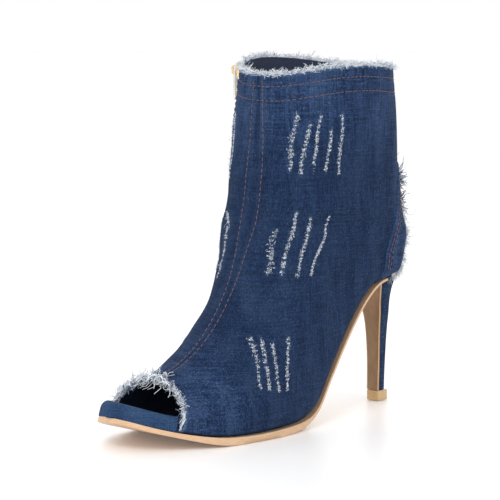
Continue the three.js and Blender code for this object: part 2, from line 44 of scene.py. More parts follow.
# Driving sizes, as in the solids
FOOT, HEEL, SHAFT, BALL, COLLAR = 220, 80, 123, 82, 72
OFFSET, WALL, ZIP_TURN = 6, 2.2, math.radians(33)
ZIP_SPOT, ZIP_WIDTH, ZIP_LOW = np.array([0.432 * FOOT - OFFSET, -0.403 * COLLAR]), 10, 0.725 * HEEL
TOE_ALONG, TOE_LEAN = 0.909 * FOOT - OFFSET, 0.38
HEM_ROWS = (6.5, 14.5)
SEAM_RADIUS = 30
BEYOND = 580  # rise past the last station, for each unit of t
SEAT, COUNTER_TOP = 15, 19.9
COLUMNS = "along rise up front_along front_rise front_up aside outer inner leg mid under over".split()
SECTIONS = [
    [1.0, 0.208, 0, 1.003, 0.23, 0.02, -0.11, 0.03, 0.03, 0, 0.3, 4, 2],
    [0.986, 0.193, 0, 0.991, 0.213, 0.07, -0.11, 0.145, 0.14, 0, 0.26, 4.5, 1.9],
    [0.94, 0.145, 0, 0.944, 0.162, 0.14, -0.105, 0.285, 0.26, 0, 0.22, 5, 1.8],
    [0.868, 0.09, 0, 0.858, 0.105, 0.21, -0.085, 0.38, 0.36, 0, 0.2, 5, 1.8],
    [0.79, 0.05, 0, 0.782, 0.08, 0.272, -0.06, 0.445, 0.42, 0, 0.2, 5, 1.85],
    [0.7, 0.035, 0, 0.716, 0.1, 0.348, -0.03, 0.465, 0.455, 0, 0.24, 5, 1.9],
    [0.6, 0.038, 0, 0.665, 0.18, 0.41, 0, 0.465, 0.44, 0, 0.28, 5, 2],
    [0.5, 0.057, 0, 0.622, 0.3, 0.45, 0.005, 0.45, 0.415, 0, 0.31, 5, 2.1],
    [0.436, 0.13, 0, 0.6, 0.4, 0.468, 0.01, 0.425, 0.41, 0, 0.33, 5, 2.3],
    [0.382, 0.32, 0, 0.584, 0.5, 0.47, 0.01, 0.41, 0.41, 0, 0.36, 5, 2.5],
    [0.327, 0.522, 0, 0.571, 0.6, 0.464, 0.01, 0.4, 0.42, 0, 0.39, 5, 2.75],
    [0.27, 0.71, 0, 0.56, 0.7, 0.447, 0.01, 0.39, 0.435, 0, 0.42, 5, 2.95],
    [0.218, 0.856, 0, 0.552, 0.8, 0.423, 0.012, 0.385, 0.446, 0, 0.45, 5, 3.1],
    [0.164, 0.952, 0, 0.547, 0.88, 0.416, 0.014, 0.385, 0.452, 0, 0.47, 4.8, 3.15],
    [0.095, 0.986, 0, 0.541, 0.94, 0.421, 0.016, 0.375, 0.454, 0, 0.48, 4.2, 3.15],
    [0.034, 1.0, 0.0, 0.536, 1.0, 0.435, 0.014, 0.37, 0.45, 0, 0.48, 3.1, 3.15],
    [0.007, 1.0, 0.08, 0.531, 1.0, 0.488, 0.012, 0.302, 0.39, 0.09, 0.48, 2.7, 3.1],
    [0.0, 1.0, 0.17, 0.526, 1.0, 0.545, 0.01, 0.23, 0.32, 0.18, 0.48, 2.7, 3.05],
    [0.007, 1.0, 0.254, 0.521, 1.0, 0.602, 0.006, 0.16, 0.247, 0.26, 0.49, 2.5, 2.95],
    [0.02, 1.0, 0.37, 0.517, 1.0, 0.667, 0.004, 0.1, 0.18, 0.34, 0.5, 2.4, 2.8],
    [0.029, 1.0, 0.595, 0.514, 1.0, 0.764, 0.0, 0.04, 0.105, 0.43, 0.5, 2.3, 2.6],
    [0.037, 1.0, 0.785, 0.513, 1.0, 0.862, 0.0, 0.01, 0.045, 0.48, 0.5, 2.2, 2.4],
    [0.048, 1.0, 1.0, 0.512, 1.0, 1.0, 0.0, 0.0, 0.01, 0.5, 0.5, 2.1, 2.2],
]
S = dict(zip(COLUMNS, np.array(SECTIONS, float).T))
LAST = len(SECTIONS) - 1
TRACKS = [
    np.stack([S["along"] * FOOT - OFFSET, S["aside"] * BALL, S["rise"] * HEEL + S["up"] * SHAFT], 1),
    np.stack([S["front_along"] * FOOT - OFFSET, S["aside"] * BALL,
              S["front_rise"] * HEEL + S["front_up"] * SHAFT], 1),
    np.stack([S["outer"] * BALL + S["leg"] * COLLAR, S["inner"] * BALL + S["leg"] * COLLAR, S["mid"]], 1),
    np.stack([S["under"], S["over"], S["over"]], 1),
]


# The form: station t runs from 0 at the toe to 1 at the collar and angle a from the underside round
def curve(points, t):
    p = np.clip(t, 0, 1) * (len(points) - 1)
    i = np.minimum(p.astype(int), len(points) - 2)
    w = (p - i)[..., None]
    ends = np.vstack([2 * points[0] - points[1], points, 2 * points[-1] - points[-2]])
    p0, p1, p2, p3 = (ends[i + k] for k in range(4))
    m1, m2 = 0.5 * (p2 - p0), 0.5 * (p3 - p1)
    return p1 + m1 * w + (3 * (p2 - p1) - 2 * m1 - m2) * w**2 + (2 * (p1 - p2) + m1 + m2) * w**3


def form(t, a):
    t, a = np.broadcast_arrays(np.asarray(t, float), np.asarray(a, float))
    back, front, width, shape = (curve(c, t) for c in TRACKS)
    across, up = np.cos(a), np.sin(a)
    power = 2 / np.where(up < 0, shape[..., 0], shape[..., 1])
    half = np.where(across > 0, width[..., 0], width[..., 1])
    reach = np.where(up < 0, width[..., 2], 1 - width[..., 2])
    share = width[..., 2] + np.sign(up) * reach * np.abs(up) ** power
    p = back + (front - back) * share[..., None]
    p[..., 1] = back[..., 1] + np.sign(across) * half * np.abs(across) ** power
    p[..., 2] += np.maximum(t - 1, 0) * BEYOND
    return p


def unit(v):
    return v / np.maximum(np.linalg.norm(v, axis=-1, keepdims=True), 1e-9)


def normal(t, a):
    t = np.clip(t, 0.002, 1)
    along = form(np.minimum(t + 4e-3, 1), a) - form(np.maximum(t - 4e-3, 0), a)
    return unit(np.cross(along, form(t, a + 0.02) - form(t, a - 0.02)))


def collar_edge(p):
    off = p[..., 0] - (0.3 * FOOT - OFFSET)
    front, back = np.maximum(0, off / (0.212 * FOOT)), np.maximum(0, -off / (0.252 * FOOT))
    return HEEL + SHAFT + 3 - 7 * front**2 - 5 * back**2 - 2 * p[..., 1] / (COLLAR / 2)


def bisect(low, high, above):
    low, high = np.array(low, float), np.array(high, float)
    for _ in range(36):
        mid = (low + high) / 2
        up = above(mid)
        high = np.where(up, mid, high)
        low = np.where(up, low, mid)
    return (low + high) / 2


def collar_t(a, down=0.0):
    def above(t):
        p = form(t, a)
        return p[..., 2] > collar_edge(p) - down
    return bisect(np.full(np.shape(a), 0.8), np.full(np.shape(a), 1.1), above)


def toe_t(a, back=0.0):
    def above(t):
        p = form(t, a)
        return p[..., 0] < TOE_ALONG - back - TOE_LEAN * p[..., 2]
    return bisect(np.zeros(np.shape(a)), np.full(np.shape(a), 8 / LAST), above)


ACROSS = np.array([math.cos(ZIP_TURN), math.sin(ZIP_TURN)])


def zip_angle(t, offset=0.0):
    """The angle at which the form lies this far to the front side of the zip's middle."""
    def above(a):
        return (form(t, a)[..., :2] - ZIP_SPOT) @ ACROSS < offset
    return bisect(np.full(np.shape(t), math.radians(95)), np.full(np.shape(t), math.radians(215)), above)


# Meshes
def add_mesh(name, points, quads, material, uv=None, triangles=(), body="boot"):
    mesh = bpy.data.meshes.new(name)
    points = np.asarray(points, float).reshape(-1, 3) / 1000
    quads, triangles = np.asarray(quads, int), np.asarray(triangles, int)
    corners = np.concatenate([quads.ravel(), triangles.ravel()])
    starts = [np.arange(len(quads)) * 4, quads.size + np.arange(len(triangles)) * 3]
    mesh.vertices.add(len(points))
    mesh.vertices.foreach_set("co", points.ravel())
    mesh.loops.add(len(corners))
    mesh.loops.foreach_set("vertex_index", corners)
    mesh.polygons.add(len(quads) + len(triangles))
    mesh.polygons.foreach_set("loop_start", np.concatenate(starts))
    mesh.polygons.foreach_set("use_smooth", np.ones(len(mesh.polygons), bool))
    mesh.update(calc_edges=True)
    mesh.validate()
    if uv is not None:
        layer = mesh.uv_layers.new(name="cloth")
        layer.data.foreach_set("uv", np.asarray(uv, float)[corners].ravel())
    obj = bpy.data.objects.new(name, mesh)
    bpy.context.scene.collection.objects.link(obj)
    mesh.materials.append(material)
    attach(obj, body)
    return obj


def point_values(obj, name, values):
    layer = obj.data.attributes.new(name, "FLOAT", "POINT")
    layer.data.foreach_set("value", np.asarray(values, float).ravel())


def grid_faces(rows, cols, closed=False, start=0, flip=False):
    i, j = np.meshgrid(np.arange(rows - 1), np.arange(cols if closed else cols - 1), indexing="ij")
    k = (j + 1) % cols
    quads = np.stack([i * cols + j, i * cols + k, (i + 1) * cols + k, (i + 1) * cols + j], -1).reshape(-1, 4)
    return start + (quads[:, ::-1] if flip else quads)


def tubes(name, paths, radii, material, sides=4, tone=None, body="boot"):
    """One mesh of many thin tubes. paths is strand by point by xyz, radii is strand by point."""
    paths = np.asarray(paths, float)
    count, steps = paths.shape[:2]
    radii = np.broadcast_to(radii, (count, steps))
    along = unit(np.gradient(paths, axis=1))
    helper = unit(rng.normal(size=(count, 1, 3)))
    one = unit(np.cross(along, helper))
    two = np.cross(along, one)
    turn = 2 * math.pi * np.arange(sides) / sides
    ring = one[:, :, None] * np.cos(turn)[:, None] + two[:, :, None] * np.sin(turn)[:, None]
    points = paths[:, :, None] + ring * radii[..., None, None]
    quads = grid_faces(steps, sides, closed=True)
    faces = (quads[None] + (np.arange(count) * steps * sides)[:, None, None]).reshape(-1, 4)
    if sides == 4:
        first = (np.arange(count) * steps * sides)[:, None]
        caps = [first + np.array([3, 2, 1, 0]), first + (steps - 1) * sides + np.array([0, 1, 2, 3])]
        faces = np.vstack([faces, *caps])
    obj = add_mesh(name, points, faces, material, body=body)
    if tone is not None:
        point_values(obj, "tone", np.repeat(tone, steps * sides))
    return obj


# Materials
def material(name, color, rough=0.8, metal=0.0, **more):
    made = bpy.data.materials.new(name)
    made.use_nodes = True
    shader = made.node_tree.nodes["Principled BSDF"]
    shader.inputs["Base Color"].default_value = (*color, 1)
    shader.inputs["Roughness"].default_value = rough
    shader.inputs["Metallic"].default_value = metal
    for key, value in more.items():
        shader.inputs[key.replace("_", " ")].default_value = value
    return made


class Nodes:
    """Short calls for a material's node tree."""

    def __init__(self, made):
        self.tree = made.node_tree
        self.shader = made.node_tree.nodes["Principled BSDF"]

    def feed(self, socket, value):
        if hasattr(value, "node"):
            self.tree.links.new(value, socket)
        else:
            socket.default_value = value

    def new(self, kind, **inputs):
        node = self.tree.nodes.new(kind)
        for key, value in inputs.items():
            self.feed(node.inputs[key.replace("_", " ")], value)
        return node

    def attribute(self, name):
        node = self.tree.nodes.new("ShaderNodeAttribute")
        node.attribute_name = name
        return node.outputs["Fac"]

    def math(self, what, a, b=0.5, clamp=False):
        node = self.tree.nodes.new("ShaderNodeMath")
        node.operation = what
        node.use_clamp = clamp
        self.feed(node.inputs[0], a)
        self.feed(node.inputs[1], b)
        return node.outputs[0]

    def mix(self, share, a, b):
        node = self.tree.nodes.new("ShaderNodeMix")
        node.data_type = "RGBA"
        for i, value in ((0, share), (6, a), (7, b)):
            self.feed(node.inputs[i], (*value, 1) if isinstance(value, tuple) else value)
        return node.outputs[2]

    def ramp(self, value, low, high):
        node = self.tree.nodes.new("ShaderNodeMapRange")
        self.tree.links.new(value, node.inputs[0])
        node.inputs[1].default_value = low
        node.inputs[2].default_value = high
        return node.outputs[0]

    def place(self, source, scale):
        node = self.tree.nodes.new("ShaderNodeMapping")
        self.tree.links.new(source, node.inputs[0])
        node.inputs["Scale"].default_value = scale
        return node.outputs[0]

    def noise(self, place, scale=1.0, detail=3.0, rough=0.55):
        node = self.new("ShaderNodeTexNoise", Vector=place, Scale=scale, Detail=detail, Roughness=rough)
        return node.outputs[0]

    def bump(self, height, strength, distance):
        node = self.new("ShaderNodeBump", Height=height, Strength=strength, Distance=distance)
        self.tree.links.new(node.outputs[0], self.shader.inputs["Normal"])

    def set(self, name, value):
        self.tree.links.new(value, self.shader.inputs[name])


def denim(name, dark, mid, light, worn=True, fine=1.0):
    """Woven denim: upright and level threads with slubs, fine specks and soft faded bands."""
    made = material(name, mid, 0.85, Specular_IOR_Level=0.1)
    n = Nodes(made)
    where = n.new("ShaderNodeTexCoord").outputs["Object"]
    warp = n.noise(n.place(where, (1500 * fine, 1500 * fine, 50)), 1, 2, 0.6)
    weft = n.noise(n.place(where, (60, 60, 1400 * fine)), 1, 2, 0.6)
    mottle = n.noise(where, 900 * fine, 2, 0.6)
    speck = n.noise(where, 1600 * fine, 2, 0.7)
    broad = n.noise(n.place(where, (90, 90, 16)), 1, 3, 0.5)
    threads = n.math("ADD", n.math("MULTIPLY", warp, 0.36), n.math("MULTIPLY", weft, 0.30))
    threads = n.math("ADD", threads, n.math("MULTIPLY", mottle, 0.34))
    base = n.mix(n.ramp(threads, 0.42, 0.58), dark, mid)
    flecks = n.math("MULTIPLY", n.ramp(speck, 0.56, 0.7), n.ramp(threads, 0.44, 0.54))
    base = n.mix(n.math("MULTIPLY", flecks, 0.66), base, light)
    base = n.mix(n.math("MULTIPLY", n.ramp(broad, 0.45, 0.7), 0.12), base, light)
    base = n.mix(n.math("MULTIPLY", n.ramp(broad, 0.5, 0.32), 0.25), base, dark)
    if worn:
        fade = n.math("MULTIPLY", n.attribute("worn"), n.ramp(threads, 0.25, 0.6), True)
        base = n.mix(fade, base, light)
        # painted shading: a point attribute mixes the dark colour into the cloth, giving a painted shadow in
        # the seam groove and darker sides
        base = n.mix(n.attribute("painted_shade"), base, dark)
    n.set("Base Color", base)
    n.set("Roughness", n.math("ADD", n.math("MULTIPLY", threads, 0.2), 0.72))
    n.bump(n.math("ADD", mottle, n.math("MULTIPLY", speck, 0.5)), 0.6, 0.0003)
    return made


def tinted(name, low, high, rough=0.9):
    """Loose thread whose colour goes from low to high with each strand's own tone."""
    made = material(name, high, rough)
    n = Nodes(made)
    n.set("Base Color", n.mix(n.attribute("tone"), low, high))
    return made


def grained(name, color, other, rough, scale, depth, metal=0.0, stretch=(1, 1, 1), **more):
    made = material(name, color, rough, metal, **more)
    n = Nodes(made)
    where = n.new("ShaderNodeTexCoord").outputs["Object"]
    value = n.noise(n.place(where, stretch), scale, 4)
    n.set("Base Color", n.mix(n.ramp(value, 0.35, 0.65), color, other))
    n.set("Roughness", n.math("ADD", n.math("MULTIPLY", value, 0.16), rough - 0.08))
    n.bump(value, 0.4, depth)
    return made


DENIM = denim("indigo_denim", (0.0045, 0.013, 0.038), (0.0225, 0.0485, 0.128), (0.125, 0.215, 0.38))
BED = denim("footbed_denim", (0.011, 0.027, 0.066), (0.027, 0.066, 0.155), (0.10, 0.18, 0.31),
            worn=False, fine=1.6)
HEEL_CLOTH = denim("heel_denim", (0.004, 0.011, 0.032), (0.018, 0.038, 0.10), (0.10, 0.18, 0.31),
                   worn=False)
LINING = grained("lining_cloth", (0.018, 0.026, 0.055), (0.028, 0.04, 0.08), 0.9, 900, 0.0002)
THREAD = tinted("frayed_cotton", (0.03, 0.08, 0.20), (0.90, 0.94, 0.98))
STITCH = grained("stitch_thread", (0.085, 0.048, 0.054), (0.165, 0.095, 0.09), 0.6, 2500, 0.0001)
SOLE = grained("sole_edge", (0.60, 0.38, 0.22), (0.68, 0.45, 0.28), 0.42, 260, 0.00008, stretch=(1, 1, 5))
BREAST = grained("breast_cover", (0.22, 0.13, 0.06), (0.29, 0.175, 0.088), 0.4, 220, 0.0001,
                 stretch=(1, 1, 0.4))
TIP = grained("heel_tip", (0.50, 0.33, 0.15), (0.58, 0.40, 0.21), 0.35, 300, 0.00006)
TAPE = grained("zip_tape_cloth", (0.006, 0.008, 0.018), (0.014, 0.017, 0.034), 0.85, 2600, 0.0002,
               stretch=(1, 1, 3))
COIL = material("zip_coil", (0.018, 0.016, 0.026), 0.35)
GOLD = grained("slider_metal", (0.83, 0.62, 0.33), (0.78, 0.56, 0.28), 0.22, 400, 0.00002, metal=1.0)
SILVER = grained("tab_metal", (0.80, 0.78, 0.74), (0.72, 0.70, 0.66), 0.2, 400, 0.00002, metal=1.0)

# Shape of the cloth. side is outer or inner, then from (x, z) to (x, z), half width and
# height: a ridge is above 0 and a trough below
CREASES = [
    ("outer", (100, 118), (46, 108), 5.5, -1.1), ("outer", (98, 127), (58, 122), 5.5, 0.8),
    ("outer", (30, 128), (70, 141), 6.0, -0.8), ("outer", (20, 120), (52, 118), 5.0, 0.6),
    ("outer", (112, 104), (84, 92), 6.0, -0.9), ("outer", (118, 94), (96, 84), 5.0, 0.7),
    ("outer", (88, 196), (84, 140), 7.0, -0.6), ("outer", (64, 190), (60, 150), 8.0, 0.6),
    ("outer", (40, 196), (36, 152), 8.0, -0.6), ("outer", (18, 190), (16, 150), 6.0, 0.5),
    ("outer", (150, 46), (122, 30), 7.0, -0.8), ("outer", (136, 62), (108, 46), 7.0, 0.7),
    ("outer", (172, 30), (160, 14), 6.0, -0.6), ("outer", (60, 92), (84, 60), 7.0, -0.6),
    ("inner", (108, 120), (50, 112), 6.0, -1.1), ("inner", (104, 130), (60, 126), 5.5, 0.8),
    ("inner", (30, 126), (66, 138), 6.0, -0.8), ("inner", (120, 98), (92, 84), 6.0, -0.8),
    ("inner", (60, 192), (56, 150), 8.0, 0.6), ("inner", (36, 194), (34, 150), 8.0, -0.6),
    ("inner", (150, 46), (124, 30), 7.0, -0.8), ("inner", (140, 60), (112, 44), 7.0, 0.6),
]
# Worn slashes: side, then from (x, z) to (x, z)
SLASHES = [
    ("outer", (99, 178), (104, 145)), ("outer", (93, 172), (99, 143)), ("outer", (87, 177), (91, 149)),
    ("outer", (80, 169), (83, 144)), ("outer", (73, 177), (74, 143)),
    ("outer", (113, 113), (121, 89)), ("outer", (103, 123), (116, 88)), ("outer", (94, 120), (108, 87)),
    ("outer", (80, 120), (98, 87)),
    ("outer", (138, 56), (142, 29)), ("outer", (134, 56), (137, 28)), ("outer", (129, 53), (131, 26)),
    ("outer", (119, 55), (124, 26)),
    ("inner", (102, 177), (105.5, 139)), ("inner", (98.5, 174), (102, 142)),
    ("inner", (93.5, 178), (96.5, 141)), ("inner", (88.5, 170), (91.5, 142)),
    ("inner", (112, 121), (124.5, 84)), ("inner", (107.5, 119), (118, 88)), ("inner", (102, 116), (112, 86)),
    ("inner", (97, 112), (106, 84)),
    ("inner", (140, 52), (144, 26)), ("inner", (133, 54), (137, 24)), ("inner", (126, 52), (129, 24)),
    ("inner", (118, 50), (121, 22)),
]


def sided(points, side):
    return np.clip(0.5 + points[..., 1] / 14 * (1 if side == "outer" else -1), 0, 1)


def line_distance(points, start, end):
    """Distance in the side view from a line, and the share of the way along it."""
    start, end = np.array(start, float), np.array(end, float)
    flat = points[..., [0, 2]] - start
    way = end - start
    share = np.clip((flat @ way) / (way @ way), 0, 1)
    return np.linalg.norm(flat - share[..., None] * way, axis=-1), share


def smooth(x, low, high):
    s = np.clip((x - low) / (high - low), 0, 1)
    return s * s * (3 - 2 * s)


def cloth_lift(points, t, a):
    """How far the cloth stands off the plain form, in millimetres."""
    lift = np.zeros(points.shape[:-1])
    for side, start, end, half, height in CREASES:
        away, share = line_distance(points, start, end)
        fade = np.sin(math.pi * np.clip(share * 0.9 + 0.05, 0, 1)) ** 0.7
        lift += height * np.exp(-((away / half) ** 2)) * fade * sided(points, side)
    # the centre front seam: a narrow groove between two soft puffs
    off = (np.mod(a, 2 * math.pi) - math.pi / 2) * SEAM_RADIUS
    lift += 0.2 * np.exp(-(((np.abs(off) - 1.3) / 1.0) ** 2)) - 0.5 * np.exp(-((off / 0.5) ** 2))
    # the hem pulled in by its two stitch rows
    below = collar_edge(points) - points[..., 2]
    for row in HEM_ROWS:
        lift -= 0.35 * np.exp(-(((below - row) / 0.9) ** 2))
    lift += 0.25 * np.exp(-(((below - 10.5) / 2.8) ** 2)) * np.sin(np.mod(a, 2 * math.pi) * 31) * 0.6
    return lift * smooth(t, 0, 0.02)


# Evenly spaced stations along the boot
fine_t = np.linspace(0, 1.05, 900)
walk = form(fine_t, math.radians(60))
TRAVEL = np.concatenate([[0], np.cumsum(np.linalg.norm(np.diff(walk, axis=0), axis=1))])
ROWS, SHEET, SLOT = 270, 300, 12
slot_low = bisect([0.2], [0.7], lambda t: form(t, zip_angle(t))[..., 2] > ZIP_LOW)[0]


def upper_grid(rows, sheet, slot_cols):
    """Stations and angles of the upper: the sheet round the boot, then the columns in the zip's slot."""
    base = np.linspace(0, 1.05, 400)
    hold = np.maximum(base, slot_low)
    front, rear = zip_angle(hold, ZIP_WIDTH / 2), zip_angle(hold, -ZIP_WIDTH / 2)
    cols = sheet + slot_cols
    column = np.arange(cols)

    def angle(t):
        near, far = np.interp(t, base, front), np.interp(t, base, rear)
        lap = near + 2 * math.pi
        return np.where(column <= sheet, far + (lap - far) * column / sheet,
                        near + (far - near) * (column - sheet) / slot_cols)

    start = toe_t(angle(np.full((1, cols), 0.1))[0])
    end = collar_t(angle(np.ones((1, cols)))[0])
    first, last = np.interp(start, fine_t, TRAVEL), np.interp(end, fine_t, TRAVEL)
    t = np.interp(first + (last - first) * np.linspace(0, 1, rows)[:, None], TRAVEL, fine_t)
    return t, angle(t)


def cloth_map(points, start_column):
    """The cloth's flat map in millimetres, which the skins keep for other weaves."""
    across = np.linalg.norm(np.diff(points, axis=1), axis=-1)
    u = np.concatenate([np.zeros((len(points), 1)), np.cumsum(across, 1)], 1)
    u -= u[:, start_column][:, None]
    down = np.linalg.norm(np.diff(points, axis=0), axis=-1)
    v = np.concatenate([np.zeros((1, points.shape[1])), np.cumsum(down, 0)], 0)
    return np.stack([u, v - v[-1]], -1)


def make_upper(name, rows, sheet, slot_cols, offset, lifted, used, flip):
    """The upper's skin as one sheet, open at the toe, the collar and the zip. Lifted is the outer one: it has
    the folds, and its cut edges turn in to the lining."""
    t, a = upper_grid(rows, sheet, slot_cols)
    plain, out = form(t, a), normal(t, a)
    lift = cloth_lift(plain, t, a) if lifted else np.zeros(t.shape)
    face = plain + out * (offset + lift)[..., None]
    front_column = int(np.argmin(np.abs(a[rows // 2, : sheet + 1] - 2.5 * math.pi)))
    low_row = int(np.argmin(np.abs(t[:, sheet + slot_cols // 2] - slot_low)))
    cols = t.shape[1]
    quads = grid_faces(rows, cols, closed=True)
    row, column = quads[:, 0] // cols, quads[:, 0] % cols
    slot_spot = (column >= sheet) & (row >= low_row)
    quads = quads[~slot_spot]
    points, uv = face.reshape(-1, 3), cloth_map(face, front_column).reshape(-1, 2)
    if lifted:
        middle, inner = plain + out * (lift - 0.5)[..., None], plain - out * WALL
        down = np.arange(low_row, rows) * cols
        edges = [
            (np.arange(cols), True), ((rows - 1) * cols + np.arange(sheet + 1)[::-1], False), (down, False),
            ((down + sheet)[::-1], False), (low_row * cols + np.append(np.arange(sheet, cols), 0), False),
        ]
        for line, ring in edges:
            index = np.concatenate([line, len(points) + np.arange(2 * len(line))])
            points = np.vstack([points, middle.reshape(-1, 3)[line], inner.reshape(-1, 3)[line]])
            uv = np.vstack([uv, uv[line] + 0.7, uv[line] + 1.4])
            quads = np.vstack([quads, index[grid_faces(3, len(line), closed=ring)][:, ::-1]])
    obj = add_mesh(name, points, quads[:, ::-1] if flip else quads, used, uv)
    return obj, a


upper, grid_a = make_upper("upper_cloth", ROWS, SHEET, SLOT, 0.0, True, DENIM, False)
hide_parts("upper")
make_upper("upper_lining", 120, 130, 6, -WALL, False, LINING, True)

coords = np.array([v.co for v in upper.data.vertices]) * 1000
worn = np.zeros(len(coords))
for side, start, end in SLASHES:
    away, share = line_distance(coords, start, end)
    worn = np.maximum(worn, 0.3 * np.exp(-((away / 0.9) ** 2)) * (sided(coords, side) > 0.5))
below = collar_edge(coords) - coords[:, 2]
worn = np.maximum(worn, 0.8 * np.exp(-((below / 1.1) ** 2)))
toe_edge = TOE_ALONG - TOE_LEAN * coords[:, 2] - coords[:, 0]
worn = np.maximum(worn, 0.7 * np.exp(-((toe_edge / 1.3) ** 2)))
off = (np.mod(grid_a.ravel(), 2 * math.pi) - math.pi / 2) * SEAM_RADIUS
puff = 0.07 * np.exp(-(((np.abs(off) - 1.2) / 0.8) ** 2))
worn[: off.size] = np.maximum(worn[: off.size], puff)
# painted shading: the sides are darker away from the back, the toe and the collar, and a painted shadow lies
# in the groove of the centre front seam
painted_shade = 0.48 * smooth(coords[:, 0], 8, 36) * smooth(below, 18, 60) * (1 - smooth(coords[:, 0], 142, 168))
painted_shade[: off.size] = np.maximum(painted_shade[: off.size], 0.6 * np.exp(-((off / 0.7) ** 2)))
point_values(upper, "worn", worn)
point_values(upper, "painted_shade", painted_shade)

tree = BVHTree.FromPolygons(
    [Vector(p) for p in coords], [tuple(p.vertices) for p in upper.data.polygons], all_triangles=False)


def onto(points, directions, reach=9.0, lift=0.0):
    """Moves each point along its direction, from outside, onto the cloth."""
    found, facing = [], []
    for p, d in zip(np.reshape(points, (-1, 3)), np.reshape(directions, (-1, 3))):
        hit, out, _, _ = tree.ray_cast(Vector(p + d * reach), Vector(-d), reach * 2.5)
        if hit is None:
            hit, out, _, _ = tree.find_nearest(Vector(p))
        if out.dot(Vector(d)) < 0:
            out = -out
        found.append(np.array(hit) + np.array(out) * lift)
        facing.append(np.array(out))
    return np.array(found), np.array(facing)


def even_path(points, step):
    lengths = np.concatenate([[0], np.cumsum(np.linalg.norm(np.diff(points, axis=0), axis=1))])
    count = max(2, int(lengths[-1] / step) + 1)
    spots = np.linspace(0, lengths[-1], count)
    return np.stack([np.interp(spots, lengths, points[:, k]) for k in range(3)], 1), spots


PITCH, LENGTH = 3.3, 2.3
stitch_paths = []


def at_spots(at, spots, values):
    return np.stack([np.interp(at, spots, values[:, k]) for k in range(3)], 1)


def stitch_row(points):
    """For each stitch of a row: its place along the line, its points and the share along it."""
    line, spots = even_path(points, 0.3)
    share = np.linspace(0, 1, 5)
    for start in np.arange(0.5, spots[-1] - LENGTH, PITCH):
        at = start + share * LENGTH
        yield at, at_spots(at, spots, line), share, spots[-1]


def sew(t, a):
    """A row of stitches along stations t and angles a."""
    rough, out = onto(form(t, a), normal(t, a))
    for at, p, share, total in stitch_row(rough):
        n = unit(at_spots(at, np.linspace(0, total, len(out)), out))
        stitch_paths.append(p + n * (0.32 * np.sin(math.pi * share) - 0.12)[:, None])


front = math.pi / 2
t_collar, t_toe = collar_t(front, 2.0), toe_t(front, 2.0)
run = np.linspace(float(t_toe), float(t_collar), 260)
for side in (-1, 1):
    sew(run, np.full(run.shape, front + side * 1.9 / SEAM_RADIUS))
spin = np.linspace(0, 2 * math.pi, 361)
zip_a = float(zip_angle(np.array(0.97)))
for row in HEM_ROWS:
    gap = 8.5 / 38
    part = zip_a + gap + spin * (1 - 2 * gap / (2 * math.pi))
    sew(collar_t(part, row), part)
zip_run = np.linspace(slot_low + 0.004, 0.985, 200)
for offset in (7.2, -7.2):
    sew(zip_run, zip_angle(zip_run, offset))

# Counter: a patch of its own over the back of the foot
OUTLINE = [(-20, 151), (-4, 151), (6, 146), (13, 133), (16.5, 121), (24, 108), (30, 93), (32, 79)]


def counter_front(z):
    heights = [z for _, z in OUTLINE][::-1]
    return np.interp(z, heights, [x for x, _ in OUTLINE][::-1])


def counter_reach(t, sign, inset=0.0):
    """The angle from the back at which a section meets the counter's edge."""
    def above(turn):
        p = form(t, -math.pi / 2 + sign * turn)
        return p[..., 0] > counter_front(p[..., 2]) - inset
    return bisect(np.full(np.shape(t), 0.02), np.full(np.shape(t), 2.4), above)


top_t = bisect([0.7], [0.95], lambda t: form(t, -math.pi / 2)[..., 2] > 150.5)[0]
low_t = bisect([0.4], [0.72], lambda t: form(t, -math.pi / 2)[..., 0] < 33)[0]
PATCH_ROWS, PATCH_COLS = 90, 101
rows_t = np.linspace(low_t, top_t, PATCH_ROWS)
outer_turn, inner_turn = counter_reach(rows_t, 1), counter_reach(rows_t, -1)
shares = np.linspace(-1, 1, PATCH_COLS)
turns = np.where(shares[None] > 0, outer_turn[:, None], inner_turn[:, None]) * shares[None]
patch_t = np.repeat(rows_t[:, None], PATCH_COLS, 1)
patch_a = -math.pi / 2 + turns
plain, out = form(patch_t, patch_a), normal(patch_t, patch_a)
lift = cloth_lift(plain, patch_t, patch_a)
patch = plain + out * (1.0 + lift)[..., None]
under = plain + out * (-0.2)
spot = np.arange(PATCH_ROWS * PATCH_COLS).reshape(PATCH_ROWS, PATCH_COLS)
ring = np.concatenate([spot[0], spot[1:, -1], spot[-1, -2::-1], spot[-2:0:-1, 0]])
points = np.vstack([patch.reshape(-1, 3), under.reshape(-1, 3)[ring]])
band = np.concatenate([ring, spot.size + np.arange(len(ring))])
quads = np.vstack([grid_faces(PATCH_ROWS, PATCH_COLS), band[grid_faces(2, len(ring), closed=True)][:, ::-1]])
uv = cloth_map(patch, PATCH_COLS // 2).reshape(-1, 2) + [400, 0]
counter = add_mesh("counter_cloth", points, quads, DENIM, np.vstack([uv, uv[ring] + 0.5]))
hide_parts("counter")
edge_worn = np.zeros(len(points))
edge_worn[ring] = 0.12
edge_worn[patch.size // 3:] = 0.3
point_values(counter, "worn", edge_worn)
point_values(counter, "painted_shade", np.zeros(len(points)))
for sign in (1, -1):
    for inset in (2.6, 5.4):
        reach = counter_reach(rows_t[14:-8], sign, inset)
        spot_a = -math.pi / 2 + sign * reach
        p, n = form(rows_t[14:-8], spot_a), normal(rows_t[14:-8], spot_a)
        for at, q, share, total in stitch_row(p + n * 1.05):
            m = n[int(at[0] / total * (len(n) - 1))]
            stitch_paths.append(q + m * (0.3 * np.sin(math.pi * share) - 0.1)[:, None])
bulge = 0.30 * np.sin(math.pi * np.linspace(0.12, 0.88, 5)) ** 0.6
tubes("stitches", stitch_paths, bulge, STITCH, sides=6)

# Loose threads
fray_paths, fray_radii, fray_tone = [], [], []
KNOTS = 7


